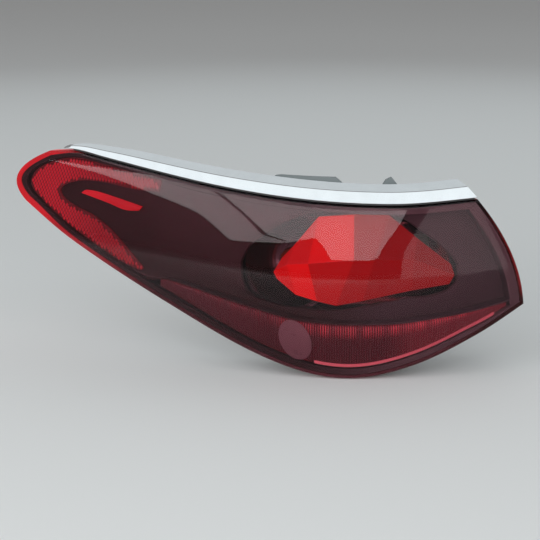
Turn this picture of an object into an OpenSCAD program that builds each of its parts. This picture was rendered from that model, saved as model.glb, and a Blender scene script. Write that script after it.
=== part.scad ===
// Left rear light cluster of a saloon car. A smoked red lens wraps from the boot edge round the corner
// of the car to a pointed front tip, with a bright trim strip along its top.
// +Y points to the front of the car, +X to its middle and +Z up.
// The origin is where the axis of the upper stud meets the seat of the housing.
// A place on the car's skin is [distance along the skin from the boot end, height above the datum line],
// and a depth is measured inwards from the outside of the lens.

/* [Skin of the car] */
// Angle of the skin at the boot end, from straight across the car
boot_heading = 13; // [9:1:17]
// Angle of the skin at the front tip
side_heading = 79; // [74:1:82]
// Distance along the skin at which the corner turns fastest
turn_at = 165; // [155:1:175]
// Distance over which the corner turns
turn_spread = 105; // [100:1:115]
// Radius of the skin's upright section
belly_radius = 330; // [300:5:380]
// Height at which the skin stands furthest out
belly_height = -15; // [-20:1:-5]

/* [Lens] */
// Wall of the lens
lens_wall = 3; // [2.5:0.1:3.2]
// Thickness of the lens's turned-in edge
rim_wall = 2.4; // [2:0.1:2.6]
// How much thicker that edge is at the front tip
rim_tip = 2; // [1:0.1:2.4]
// How far the lens's edge turns in
rim_depth = 9; // [8.5:0.1:11]
// Thickness of the sealing bead between lens and housing
seal_thick = 1; // [0.8:0.1:1.6]
// Lowest point of the lens below the datum line
lens_drop = 65; // [63:0.5:68]
// Swell of the boot end beyond a straight line
boot_bulge = 8; // [5:0.5:10]
// Swell of the front tip beyond a straight line
tip_bulge = 25; // [24:0.5:28]

/* [Housing] */
// Wall of the housing
house_wall = 2.6; // [2.2:0.1:3]
// Distance from the lens's boot end to the housing's flat back, towards the front of the car
seat_y = 74.6; // [73:0.2:80]
// Width of the flange that the lens sits on
house_flange = 5; // [4.5:0.1:6]
// How far the housing's walls lean in
house_draft = 6; // [5:0.5:8]

/* [Fastening] */
// Radius of the studs
stud_r = 3; // [2.5:0.1:3.5]
// Length of the studs behind the seat
stud_len = 26; // [22:1:32]
// Radius of the locating pin
pin_r = 4; // [3.5:0.1:4.5]
// Length of the locating pin ahead of its lug
pin_len = 16; // [12:1:20]
// Thickness of the foam gasket
gasket_thick = 5; // [4:0.5:7]

/* [Trim strip] */
// Height of the trim strip at the boot end
trim_h = 13.8; // [13:0.1:15]
// Wall of the trim strip
trim_wall = 2; // [1.6:0.1:2.2]
// How far the strip stands proud of the lens
trim_proud = 1.2; // [0.8:0.1:2]
// Height of the dark seam under the strip
seam = 1.5; // [1.3:0.1:1.9]

/* [Inner pieces] */
// Depth of the bezel's floor round the stop light
bezel_deep = 15; // [14:0.2:16]
// Depth of the bezel's floor behind the side reflector
bezel_shallow = 8; // [7.8:0.1:8.4]
// Wall of the bezel
bezel_wall = 1.4; // [1.2:0.1:1.5]
// Depth of the fluted band
band_depth = 7.5; // [7.3:0.1:7.8]
// Wall of the fluted band
band_wall = 2.4; // [2:0.1:2.6]
// Number of flutes in the band
flutes = 150; // [120:2:160]
// Height of a flute
flute_h = 0.8; // [0.5:0.1:0.9]
// Radius of the red light guide rod
rod_r = 1.3; // [1:0.1:1.35]
// Thickness of the side reflector
reflex_wall = 2.2; // [1.8:0.1:2.4]
// Wall of the stop light's red jewel
jewel_wall = 3.2; // [2.8:0.2:3.6]
// Radius of the turn light's bowl
bowl_r = 38; // [36.5:0.5:38.5]
// Depth of the turn light's bowl
bowl_deep = 21; // [20:0.5:22]

/* [Bulbs and boards] */
// Radius of the hole for the turn light's bulb holder
turn_bore_r = 16; // [15:0.2:17]
// Radius of the hole for the reversing light's bulb holder
reverse_bore_r = 11; // [10:0.2:12]
// Height of the collars round the two holes
collar_h = 7; // [6:0.5:9]
// Thickness of the circuit boards
board_thick = 1.6; // [1:0.1:2]
// Side of a light chip
chip = 3; // [2.4:0.1:3.4]
// Height of the heat sink's fins
fin_h = 10; // [7:0.5:12]
// Length of the plug's shroud behind the seat
plug_len = 17; // [15:0.5:19]

/* [Hidden] */
$fn = 48;

// Gaps: between faces that lie on each other, and round a shaft in its hole
gap = 0.3;
slip = 0.1;

// Corners of the lens on the skin, and the points its edges pass through
boot_foot = [4, -12];
boot_top = [42, 74.2];
tip_foot = [489, 47];
tip_top = [470, 92];
low_points = [
    boot_foot, [45, -33], [100, -55.3], [152, -lens_drop], [205, -57], [310, -20], [396, 9.4], [441, 25.8],
    tip_foot];
top_points = [boot_top, [120, 72.4], [260, 79.9], [400, 91.6], [440, 94.8], tip_top];
// Line between the fluted band and the inner bezel
shelf_points = [
    [15, -8], [30, -10.6], [50, -13.8], [80, -17], [120, -20], [190, -18.5], [240, -10], [318, 2], [345, 0],
    [400, 17]];
// Width of the dark frame along the lens's lower edge and along its top
border_points = [
    [0, 4.5], [30, 5.1], [60, 6.9], [100, 7.3], [200, 7.5], [320, 6.6], [372, 6.4], [415, 6.5], [440, 7],
    [460, 7.8], [480, 8.3], [520, 8.3]];
top_border_points = [
    [0, 8], [100, 7.6], [300, 7.6], [340, 6.2], [380, 5.8], [430, 5.8], [450, 6.6], [460, 7.5], [472, 8.5],
    [520, 8.5]];
// Depth of the housing away from its flat back
side_points = [[60, 30], [100, 40], [130, 50], [180, 54], [240, 50], [300, 38], [400, 28], [520, 20]];

// Opening of the bezel: its middle, and the points of its edge
open_at = [150, 24];
open_points = [
    [252, 22], [251, 8], [246, -2], [236, -6.5], [218, -9.5], [196, -11.2], [180, -12], [166, -12],
    [152, -10.8], [140, -8.5], [122, -5.3], [103, -2], [66, 1.5], [58, 8], [57, 22], [70, 35.5], [89, 49],
    [101, 57.5], [118, 64.2], [134, 64.6], [150, 64.8], [164, 65], [178, 65], [205, 58], [230, 45],
    [246, 34]];
open_lip = 4;

// Places of the studs, the two bulbs and the locating pin's lug
stud_places = [[-28, 48], [-54, 46], [-9, 2]];
turn_at_skin = [211, 20];
reverse_at_skin = [199, -31];
pin_at = [400, 58];

// Turns of a curve
function tanh(x) = 1 - 2 / (exp(2 * x) + 1);
function mix(a, b, t) = a * (1 - t) + b * t;
function ramp(a, b, s) = min(1, max(0, (s - a) / (b - a)));
function ease(t) = t * t * (3 - 2 * t);

// Height of a smooth line through points, at distance s
function segment(p, s, i = 0) = i >= len(p) - 2 || s <= p[i + 1].x ? i : segment(p, s, i + 1);
function slope(p, i) =
    let (a = p[max(0, i - 1)], b = p[min(len(p) - 1, i + 1)])
    (b.y - a.y) / (b.x - a.x);
function along(p, s) =
    let (i = segment(p, s), w = p[i + 1].x - p[i].x, t = (s - p[i].x) / w)
    p[i].y * (2 * t ^ 3 - 3 * t ^ 2 + 1) + slope(p, i) * w * (t ^ 3 - 2 * t ^ 2 + t)
    + p[i + 1].y * (3 * t ^ 2 - 2 * t ^ 3) + slope(p, i + 1) * w * (t ^ 3 - t ^ 2);

// The skin: its heading, its plan from a table of steps, and a point of it at a depth
skin_len = 520;
plan_step = 4;
function turned(s) = tanh((s - turn_at) / turn_spread);
function heading(s) =
    boot_heading + (side_heading - boot_heading) * (turned(s) - turned(0)) / (turned(skin_len) - turned(0));
function step(s) = plan_step * [-cos(heading(s)), sin(heading(s))];
function walk(n, way) = [
    for (i = 0, p = [0, 0]; i <= n; p = p + way * step(way * (i + 0.5) * plan_step), i = i + 1)
        [way * i * plan_step, p]];
behind = walk(10, -1);
plan = [for (i = [10:-1:1]) behind[i], each walk(136, 1)];
plan_x = [for (q = plan) [q[0], q[1].x]];
plan_y = [for (q = plan) [q[0], q[1].y]];
datum = [-stud_places[0].x, -seat_y, -stud_places[0].y];
function belly(z) = -(z - belly_height) ^ 2 / (2 * belly_radius);
function skin(p, d) =
    let (h = heading(p.x), o = belly(p.y) - d)
    [lookup(p.x, plan_x) - o * sin(h), lookup(p.x, plan_y) - o * cos(h), p.y] + datum;

// Loops on the skin: a closed outline, the same drawn in by w, and the net of points inside it
function low_edge(s) = along(low_points, s);
function top_edge(s) = along(top_points, s);
function border(s) = along(border_points, s);
function outline(nu, nv) = [
    for (i = [0:nu]) let (s = mix(boot_foot.x, tip_foot.x, i / nu)) [s, low_edge(s)],
    for (j = [1:nv]) mix(tip_foot, tip_top, j / nv) + [tip_bulge * swell(j / nv), 0],
    for (i = [nu - 1:-1:0]) let (s = mix(boot_top.x, tip_top.x, i / nu)) [s, top_edge(s)],
    for (j = [nv - 1:-1:1]) mix(boot_foot, boot_top, j / nv) - [boot_bulge * swell(j / nv), 0]];
function swell(v) = 4 * v * (1 - v);
function inset(loop, w) =
    let (n = len(loop))
    [for (k = [0:n - 1])
        let (a = loop[(k + n - 1) % n], b = loop[(k + 1) % n], t = (b - a) / norm(b - a))
        loop[k] + (is_num(w) ? w : w(loop[k].x)) * [-t.y, t.x]];
function net(loop, nu, nv) =
    let (n = 2 * (nu + nv), a = loop[0], b = loop[nu], c = loop[nu + nv], d = loop[2 * nu + nv])
    [for (i = [0:nu]) [for (j = [0:nv])
        let (u = i / nu, v = j / nv)
        mix(loop[i], loop[2 * nu + nv - i], v) + mix(loop[(n - j) % n], loop[nu + j], u)
        - mix(mix(a, b, u), mix(d, c, u), v)]];
function on_skin(loop, d) = [for (p = loop) skin(p, d)];
function net_on_skin(loop, nu, nv, d) = [for (row = net(loop, nu, nv)) on_skin(row, d)];

// Area inside the dark frame, and the part of it above the fluted band
mask_low_ends = [boot_foot.x + 11, tip_foot.x - 6];
mask_top_ends = [boot_top.x + 8, tip_top.x - 4];
function framed(nu, nv, low) =
    let (a = [mask_low_ends[0], low(mask_low_ends[0])], b = [mask_low_ends[1], low(mask_low_ends[1])],
        d = [mask_top_ends[0], frame_top(mask_top_ends[0])])
    [for (i = [0:nu]) let (s = mix(a.x, b.x, i / nu)) [s, low(s)],
     for (j = [1:nv]) mask_tip(j / nv),
     for (i = [nu - 1:-1:0]) let (s = mix(d.x, mask_top_ends[1], i / nu)) [s, frame_top(s)],
     for (j = [nv - 1:-1:1]) mix(a, d, j / nv) - [(boot_bulge - 1) * swell(j / nv), 0]];
function frame_top(s) = top_edge(s) - along(top_border_points, s);
function frame_foot(s) = low_edge(s) + border(s);
function mask_tip(v) =
    mix([mask_low_ends[1], frame_foot(mask_low_ends[1])],
        [mask_top_ends[1], frame_top(mask_top_ends[1])], v)
    + [(tip_bulge - 7) * swell(v), 0];
frame_low = function(s) frame_foot(s);
bezel_low = function(s) mix(along(shelf_points, s), frame_foot(s), ease(ramp(328, 372, s)));

// Solids made of nets and loops of points
function rim_index(k, nu, nv) =
    k <= nu ? k * (nv + 1)
    : k <= nu + nv ? nu * (nv + 1) + k - nu
    : k <= 2 * nu + nv ? (2 * nu + nv - k) * (nv + 1) + nv
    : 2 * nu + 2 * nv - k;
function band_faces(a, b) =
    let (n = len(a))
    [for (k = [0:n - 1]) let (m = (k + 1) % n) each [[a[k], b[k], b[m]], [a[k], b[m], a[m]]]];

// A sheet with two sides and any number of loops round its edge, from its front side to its back
module cup(front, loops, back) {
    nu = len(front) - 1;
    nv = len(front[0]) - 1;
    n = 2 * (nu + nv);
    count = (nu + 1) * (nv + 1);
    last = count + len(loops) * n;
    rim = [for (k = [0:n - 1]) rim_index(k, nu, nv)];
    rims = [
        rim,
        for (m = [0:1:len(loops) - 1]) [for (k = [0:n - 1]) count + m * n + k],
        [for (k = rim) last + k]];
    polyhedron(
        points = [for (row = front) each row, for (loop = loops) each loop, for (row = back) each row],
        faces = [
            for (i = [0:nu - 1], j = [0:nv - 1])
                let (a = i * (nv + 1) + j, b = a + nv + 1)
                each [[a, b, b + 1], [a, b + 1, a + 1],
                      [last + b + 1, last + b, last + a], [last + b + 1, last + a, last + a + 1]],
            for (m = [0:len(rims) - 2]) each band_faces(rims[m], rims[m + 1])]);
}

// A ring with an opening, as loops that run from the front of its opening round to the back of it
module ring(loops) {
    n = len(loops[0]);
    m = len(loops);
    polyhedron(
        points = [for (loop = loops) each loop],
        faces = [for (i = [0:m - 1])
            each band_faces([for (k = [0:n - 1]) i * n + k], [for (k = [0:n - 1]) (i + 1) % m * n + k])]);
}

// A bar with closed ends, as sections that all have the same number of corners
module bar(sections) {
    n = len(sections[0]);
    last = (len(sections) - 1) * n;
    polyhedron(
        points = [for (section = sections) each section],
        faces = [
            [for (k = [0:n - 1]) k],
            for (i = [0:len(sections) - 2], k = [0:n - 1])
                let (a = i * n + k, b = i * n + (k + 1) % n)
                each [[b, a, a + n], [b, a + n, b + n]],
            [for (k = [n - 1:-1:0]) last + k]]);
}

// Tilt of the skin at a height
function lean(z) = atan((z - belly_height) / belly_radius);

// Puts a child on the skin at a depth, with its +Z pointing square out of the skin and its +Y up
module at_skin(p, d) {
    translate(skin(p, d)) rotate([90 - lean(p.y), 0, -heading(p.x)]) children();
}

// Puts a child on the housing's flat back, with its +Z pointing to the front of the car
module at_seat(p) {
    translate([p.x, 0, p.y] + [datum.x, 0, datum.z]) rotate([-90, 0, 0]) children();
}

// Depth of the housing's inside and of its outside: the flat back, then an upright corner, then the side
function flat_depth(p, y) = (y - lookup(p.x, plan_y)) / cos(heading(p.x)) + belly(p.y);
function side_depth(p) = along(side_points, p.x) + belly(p.y) * (1 - ease(ramp(150, 260, p.x)));
function house_depth(p, out) =
    let (side = side_depth(p) + out * house_wall)
    p.x > 150 ? side : max(side, flat_depth(p, seat_y - (1 - out) * house_wall));
function house_skin(loop, out) = [for (p = loop) skin(p, house_depth(p, out))];
flange_depth = rim_depth + seal_thick + 2 * gap;
house_size = [32, 8];

// Thickness of the lens's turned-in edge along the skin
function rim_at(s) = rim_wall + rim_tip * ease(ramp(430, 485, s));
module outer_lens() {
    nu = 44;
    nv = 10;
    edge = outline(nu, nv);
    inner = inset(edge, function(s) rim_at(s));
    color("darkred")
        cup(net_on_skin(edge, nu, nv, 0), [on_skin(edge, rim_depth), on_skin(inner, rim_depth)],
            net_on_skin(inner, nu, nv, lens_wall));
}

module lens_seal() {
    edge = outline(house_size[0], house_size[1]);
    inner = inset(edge, rim_wall);
    outer = inset(edge, 0.5);
    top = rim_depth + gap;
    low = top + seal_thick;
    color("dimgray")
        ring([on_skin(inner, top), on_skin(outer, top), on_skin(outer, low), on_skin(inner, low)]);
}

module housing_shell() {
    nu = house_size[0];
    nv = house_size[1];
    edge = outline(nu, nv);
    floor_edge = inset(edge, house_draft + house_wall);
    back_edge = inset(edge, house_draft);
    lip = inset(edge, house_flange);
    outer = inset(edge, 0.4);
    waist = inset(edge, 0.4 + house_wall);
    cup([for (row = net(floor_edge, nu, nv)) house_skin(row, 0)],
        [on_skin(lip, flange_depth + house_wall), on_skin(lip, flange_depth), on_skin(outer, flange_depth),
         on_skin(outer, flange_depth + house_wall), on_skin(waist, flange_depth + 2 * house_wall)],
        [for (row = net(back_edge, nu, nv)) house_skin(row, 1)]);
}

// A hole's own frame, with its +Z pointing out of the car from the housing's wall
module at_hole(p) {
    at_skin(p, house_depth(p, 1)) children();
}

stud_flange = [6.5, 2];
boss_r = stud_flange[0] + 2.5;
boss_deep = 12;
lug = [20, 4, 22];
lug_out = 12;
module rear_housing() {
    color([0.16, 0.16, 0.17]) difference() {
        union() {
            housing_shell();
            for (p = stud_places) at_seat(p)
                translate([0, 0, -boss_deep]) cylinder(r = boss_r, h = boss_deep);
            at_hole(turn_at_skin) collar(turn_bore_r);
            at_hole(reverse_at_skin) collar(reverse_bore_r);
            pin_lug();
        }
        for (p = stud_places) at_seat(p) {
            translate([0, 0, 1 - boss_deep]) cylinder(r = stud_r + slip, h = boss_deep + 9);
            translate([0, 0, -stud_flange[1] - gap])
                cylinder(r = stud_flange[0] + gap, h = stud_flange[1] + 5);
        }
        at_hole(turn_at_skin) translate([0, 0, -20]) cylinder(r = turn_bore_r, h = 40);
        at_hole(reverse_at_skin) translate([0, 0, -20]) cylinder(r = reverse_bore_r, h = 40);
        at_seat(plug_at) translate([0, 0, -10])
            cube([plug_size.x + 2 * gap, plug_size.y + 2 * gap, 20], center = true);
        translate(pin_base) rotate([-90, 0, 0]) translate([0, 0, -20]) cylinder(r = pin_r + slip, h = 40);
    }
}

// Collar round a bulb holder's hole
collar_wall = 4;
module collar(bore_r) {
    translate([0, 0, -collar_h]) cylinder(r = bore_r + collar_wall, h = collar_h + 5);
}

// Lug for the locating pin, on the outside of the housing
lug_root = skin(pin_at, house_depth(pin_at, 1));
pin_base = [lug_root.x + lug_out, lug_root.y + lug.y, lug_root.z];
module pin_lug() {
    translate([lug_root.x - 1.5, lug_root.y, lug_root.z - lug.z / 2]) cube([lug.x + 1.5, lug.y, lug.z]);
}

module lens_frame() {
    nu = 40;
    nv = 8;
    edge = outline(nu, nv);
    outer = inset(edge, function(s) rim_at(s) + gap);
    skirt = inset(edge, function(s) rim_at(s) + gap + bezel_wall);
    inner = framed(nu, nv, frame_low);
    top = lens_wall + 0.5;
    color([0.2, 0.2, 0.21])
        ring([on_skin(inner, top), on_skin(outer, top), on_skin(outer, flange_depth - gap),
              on_skin(skirt, flange_depth - gap), on_skin(skirt, top + bezel_wall),
              on_skin(inner, top + bezel_wall)]);
}

// Floor of the bezel: shallow behind the side reflector, deep round the stop light
function floor_depth(s) = mix(bezel_deep, bezel_shallow, ease(ramp(240, 335, s)));
function on_floor(loop, more) = [for (p = loop) skin(p, floor_depth(p.x) + more)];
open_turns = [for (p = open_points) [turn_of(p), norm(p - open_at)]];
open_table = [for (w = [-360, 0, 360], q = open_turns) [q[0] + w, q[1]]];
function turn_of(p) = atan2(p.y - open_at.y, p.x - open_at.x);
function opening(loop, grow) =
    [for (p = loop)
        open_at + (p - open_at) / norm(p - open_at) * (lookup(turn_of(p), open_table) + grow)];
lip_depth = lens_wall + 0.5 + bezel_wall + gap;
module inner_bezel() {
    nu = 40;
    nv = 8;
    edge = framed(nu, nv, bezel_low);
    outer = inset(edge, -bezel_wall);
    hole = opening(edge, 0);
    behind_hole = opening(edge, bezel_wall);
    parts = [0.12, 0.3, 0.5, 0.75];
    color([0.14, 0.12, 0.13])
        ring([on_floor(hole, open_lip), on_floor(hole, 0),
              for (t = parts) on_floor(mix(hole, edge, t), 0),
              on_floor(edge, 0), on_skin(edge, lip_depth), on_skin(outer, lip_depth),
              on_floor(outer, bezel_wall),
              for (t = [for (i = [3:-1:0]) parts[i]]) on_floor(mix(behind_hole, edge, t), bezel_wall),
              on_floor(behind_hole, bezel_wall), on_floor(behind_hole, open_lip)]);
}

// Side reflector: a red plate that bends round the marker bar like the letter C
reflex_edge = 0.4;
reflex_outer = [
    for (s = [338, 368, 400, 430, 456]) [s, frame_top(s) - reflex_edge],
    for (v = [0.8, 0.55, 0.2]) mask_tip(v) - [2, 0],
    for (s = [468, 440, 408, 378]) [s, max(frame_foot(s), bezel_low(s)) + reflex_edge],
    [352, 4.2]];
reflex_inner = [[338, 70], [368, 69.3], [400, 71.2], [425, 70.5], [442, 67], [451, 63], [453, 58.5],
    [446, 52.7], [430, 47.5], [410, 43], [389, 34.2], [368, 21], [347, 6]];
function curve(p, t) =
    let (n = len(p), i = min(n - 2, floor(t)), f = t - i,
         a = p[max(0, i - 1)], b = p[i], c = p[i + 1], d = p[min(n - 1, i + 2)])
    (2 * b + (c - a) * f + (2 * a - 5 * b + 4 * c - d) * f ^ 2 + (3 * b - a - 3 * c + d) * f ^ 3) / 2;
module side_reflex() {
    nu = 36;
    nv = 4;
    plate = [
        for (i = [nu:-1:0])
            let (a = curve(reflex_outer, i / 3), b = curve(reflex_inner, i / 3))
            [for (j = [0:nv]) mix(a, b, j / nv)]];
    back = bezel_shallow - gap;
    color([0.75, 0.05, 0.1])
        cup([for (row = plate) on_skin(row, back - reflex_wall)], [],
            [for (row = plate) on_skin(row, back)]);
}

// Marker bar: a slanted red bar with blunt ends
bar_low = [[358, 52.7], [373, 51.8], [392, 55.1], [412, 58.1], [426, 60]];
bar_high = [[355, 56.2], [371, 58.4], [390, 60.8], [409, 62.8], [422, 62.9]];
module marker_bar() {
    back = bezel_shallow - gap;
    rows = [
        for (i = [0:16])
            let (a = curve(bar_low, i / 4), b = curve(bar_high, i / 4))
            [for (j = [0:4]) mix(a, b, j / 4)]];
    color([0.9, 0.05, 0.1])
        cup([for (row = rows) [for (j = [0:4]) skin(row[j], back - 2.2 - 0.9 * swell(j / 4))]], [],
            [for (row = rows) on_skin(row, back)]);
}

marker_board = [72, 9];
marker_mid = [392, 57];
marker_tilt = 6;
module at_marker(d) {
    at_skin(marker_mid, d) rotate(-marker_tilt) children();
}
marker_board_depth = bezel_shallow + bezel_wall + 2 * gap + chip / 2;
module marker_led_board() {
    color("seagreen")
        at_marker(marker_board_depth) translate([0, 0, -board_thick / 2])
            cube([marker_board.x, marker_board.y, board_thick], center = true);
}

module marker_leds() {
    color("white") for (i = [-2:2])
        at_marker(marker_board_depth) translate([i * 15, 0, chip / 4])
            cube([chip, chip, chip / 2], center = true);
}

// Fluted band along the lower edge
band_from = 17;
band_to = 329;
function band_row(s, lift) =
    let (low = low_edge(s) + border(s) + 0.6, high = along(shelf_points, s) - bezel_wall - 0.6)
    [for (j = [0:3]) skin([s, mix(low, high, j / 3)], band_depth + lift)];
module tail_band() {
    n = 2 * flutes;
    color([0.7, 0.15, 0.22])
        cup([for (i = [0:n]) band_row(mix(band_from, band_to, i / n), -flute_h * (i % 2))], [],
            [for (i = [0:n]) band_row(mix(band_from, band_to, i / n), band_wall)]);
}

// Red rod that lies on the band, just above its lower edge
rod_from = 30;
rod_to = 181;
module guide_rod() {
    n = 34;
    color("red") bar([for (i = [0:n])
        let (s = mix(rod_from, rod_to, i / n), z = low_edge(s) + border(s) + 0.6 + rod_r + 0.6,
             d = band_depth - flute_h - gap - rod_r)
        [for (k = [0:7]) skin([s, z + rod_r * sin(k * 45)], d + rod_r * cos(k * 45))]]);
}

// Clear oval over the band, in front of the reversing light
fog_at = [197.5, -35.6];
fog_half = [14, 15.6];
fog_skew = 4;
module fog_lens() {
    nu = 6;
    nv = 6;
    back = band_depth - flute_h - gap;
    edge = [
        for (k = [0:23])
            let (a = k * 15 + 225)
            fog_at + [fog_half.x * cos(a), fog_half.y * sin(a) + fog_skew * cos(a)]];
    color([0.6, 0.5, 0.55])
        cup([for (row = net(edge, nu, nv)) [for (p = row) skin(p, back - fog_rise(p))]], [],
            net_on_skin(edge, nu, nv, back));
}
function fog_rise(p) =
    let (x = (p.x - fog_at.x) / fog_half.x, e = [x, (p.y - fog_at.y - fog_skew * x) / fog_half.y])
    1 + 1.6 * max(0, 1 - e * e);

// White tray behind the band, with flat boards and light chips on its floor
tray_depth = 9;
tray_wall = 1.5;
tray_from = band_from + 14;
tray_to = 300;
module tail_reflector() {
    nu = 32;
    nv = 3;
    top = band_depth + band_wall + gap;
    low = top + tray_depth;
    edge = [
        for (i = [0:nu]) let (s = mix(tray_from, tray_to, i / nu)) [s, tray_low(s)],
        for (j = [1:nv]) mix([tray_to, tray_low(tray_to)], [tray_to, tray_high(tray_to)], j / nv),
        for (i = [nu - 1:-1:0]) let (s = mix(tray_from, tray_to, i / nu)) [s, tray_high(s)],
        for (j = [nv - 1:-1:1])
            mix([tray_from, tray_low(tray_from)], [tray_from, tray_high(tray_from)], j / nv)];
    inner = inset(edge, tray_wall);
    color([0.85, 0.85, 0.85])
        cup(net_on_skin(inner, nu, nv, low - tray_wall), [on_skin(inner, top), on_skin(edge, top)],
            net_on_skin(edge, nu, nv, low));
}
function tray_low(s) = low_edge(s) + max(border(s), 7) + 1;
function tray_high(s) = along(shelf_points, s) - bezel_wall - 1;

tail_stations = [80, 115, 150, 190, 226];
tail_board = [30, 8];
function tray_mid(s) = (tray_low(s) + tray_high(s)) / 2;
module at_tail(s, d) {
    at_skin([s, tray_mid(s)], d) rotate(-atan((tray_mid(s + 5) - tray_mid(s - 5)) / 10)) children();
}
tail_board_depth = band_depth + band_wall + tray_depth - tray_wall;
module tail_led_boards() {
    color("seagreen") for (s = tail_stations)
        at_tail(s, tail_board_depth) translate([0, 0, board_thick / 2])
            cube([tail_board.x, tail_board.y, board_thick], center = true);
}

module tail_leds() {
    color("white") for (s = tail_stations, i = [-1:1])
        at_tail(s, tail_board_depth) translate([i * 10, 0, board_thick + chip / 4])
            cube([chip, chip, chip / 2], center = true);
}

// Turn light: a round bowl behind the bezel's opening, with its bulb
bowl_depth = bezel_deep + open_lip + 8.4;
bowl_hole_r = 14;
bowl_wall = 1.6;
function bowl_radius(h) = mix(bowl_hole_r, bowl_r - 1, sqrt(1 - h / bowl_deep));
module turn_bowl() {
    steps = [for (i = [0:9]) bowl_deep * (1 - (1 - i / 9) ^ 2)];
    inside = [for (h = steps) [bowl_radius(h), -h]];
    outside = [for (i = [9:-1:0]) [bowl_radius(steps[i]) + bowl_wall, -steps[i] - 0.6]];
    rim = bowl_r + 2.6;
    color([0.3, 0.3, 0.32])
        at_hole(turn_at_skin) translate([0, 0, house_depth(turn_at_skin, 1) - bowl_depth])
            rotate_extrude($fn = 64) polygon([each inside, each outside, [rim, -1.6], [rim, 0]]);
}

// Bulb holders: a stem in the collar's bore, an outer flange on a flat rubber ring, and a grip
holder_flange = 3;
holder_reach = 4;
socket_deep = 12;
bulb_ring = 1;
turn_base_r = 7.5;
turn_base_h = 15;
turn_glass = [11, 22];
reverse_base_r = 5;
reverse_base_h = 10;
reverse_glass = [6.5, 15];
module holder(bore_r, base_r) {
    seat = -collar_h - bulb_ring - 2 * slip;
    out = seat - holder_flange;
    difference() {
        union() {
            translate([0, 0, seat]) cylinder(r = bore_r - gap, h = holder_reach - seat);
            translate([0, 0, out]) cylinder(r = bore_r + collar_wall, h = holder_flange);
            translate([0, 0, out - 4]) cube([2 * bore_r, 4, 9], center = true);
            translate([0, 0, out - 8]) cylinder(r = bore_r * 0.55, h = 8);
        }
        translate([0, 0, holder_reach - socket_deep]) cylinder(r = base_r + slip, h = socket_deep + 1);
    }
}

module turn_bulb_holder() {
    color([0.25, 0.25, 0.26]) at_hole(turn_at_skin) holder(turn_bore_r, turn_base_r);
}

module reverse_bulb_holder() {
    color([0.25, 0.25, 0.26]) at_hole(reverse_at_skin) holder(reverse_bore_r, reverse_base_r);
}

// A bulb, with the foot of its base at the bottom of the socket
module bulb(base_r, base_h, glass_r, glass_h) {
    neck = glass_h - glass_r;
    translate([0, 0, holder_reach - socket_deep + slip]) rotate_extrude() polygon([
        [0, 0], [base_r, 0], [base_r, base_h], [base_r * 0.9, base_h + 1],
        for (a = [-50:20:90]) [glass_r * cos(a), base_h + neck + glass_r * sin(a)],
        [0, base_h + glass_h]]);
}

module turn_bulb() {
    color("orange") at_hole(turn_at_skin) bulb(turn_base_r, turn_base_h, turn_glass.x, turn_glass.y);
}

module reverse_bulb() {
    color("lightgray") at_hole(reverse_at_skin)
        bulb(reverse_base_r, reverse_base_h, reverse_glass.x, reverse_glass.y);
}

// Flat rubber rings between the collars and the holders' flanges
module holder_seals() {
    color([0.1, 0.1, 0.1]) {
        at_hole(turn_at_skin) seal_ring(turn_bore_r);
        at_hole(reverse_at_skin) seal_ring(reverse_bore_r);
    }
}
module seal_ring(bore_r) {
    translate([0, 0, -collar_h - bulb_ring - slip]) difference() {
        cylinder(r = bore_r + collar_wall - 1, h = bulb_ring);
        translate([0, 0, -1]) cylinder(r = bore_r, h = bulb_ring + 2);
    }
}

// Stop light: a red jewel of three rows of facet corners, each [distance, height, depth]
jewel_low = [
    [217, 11, 14], [200, -1, 15], [181, -5.6, 16], [164, -8.7, 16], [141, -4.5, 16], [98, 2.8, 16],
    [65, 6.2, 15]];
jewel_mid = [
    [219, 17, 11], [206.5, 24, 9], [188, 25.5, 9], [149, 29.5, 9], [132, 29.3, 9], [98, 28.8, 10],
    [61.5, 14, 12]];
jewel_top = [
    [213, 28, 14], [203, 38, 15], [182, 61, 16], [149, 63, 17], [116, 61.8, 18], [91.5, 43.3, 17],
    [63, 22, 15]];
module stop_jewel() {
    rows = [jewel_low, jewel_mid, jewel_top];
    function corner(i, j, more) = let (p = rows[j][i]) skin([p.x, p.y], p.z + more);
    color([0.85, 0.02, 0.05])
        cup([for (i = [6:-1:0]) [for (j = [0:2]) corner(i, j, 0)]], [],
            [for (i = [6:-1:0]) [for (j = [0:2]) corner(i, j, jewel_wall)]]);
}

// Bright pan behind the jewel, with the board on its floor
pan_from = 62;
pan_to = turn_at_skin.x - bowl_r - 20;
pan_low = -8;
pan_high = 56;
pan_top = bezel_deep + open_lip + 2.5;
pan_floor = 33.6;
module stop_reflector() {
    nu = 12;
    nv = 6;
    edge = [
        for (i = [0:nu]) [mix(pan_from, pan_to, i / nu), pan_low],
        for (j = [1:nv]) [pan_to, mix(pan_low, pan_high, j / nv)],
        for (i = [nu - 1:-1:0]) [mix(pan_from, pan_to, i / nu), pan_high],
        for (j = [nv - 1:-1:1]) [pan_from, mix(pan_low, pan_high, j / nv)]];
    inner = inset(edge, tray_wall);
    color([0.8, 0.8, 0.82])
        cup(net_on_skin(inner, nu, nv, pan_floor), [on_skin(inner, pan_top), on_skin(edge, pan_top)],
            net_on_skin(edge, nu, nv, pan_floor + tray_wall));
}

stop_board = [54, 40];
stop_mid = [(pan_from + pan_to) / 2, (pan_low + pan_high) / 2];
stop_board_depth = pan_floor - gap;
module stop_led_board() {
    color("seagreen")
        at_skin(stop_mid, stop_board_depth) translate([0, 0, board_thick / 2])
            cube([stop_board.x, stop_board.y, board_thick], center = true);
}

module stop_leds() {
    color("white") for (i = [-1:1], j = [-1:1])
        at_skin(stop_mid, stop_board_depth) translate([i * 16, j * 12, board_thick + chip / 4])
            cube([chip, chip, chip / 2], center = true);
}

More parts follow.
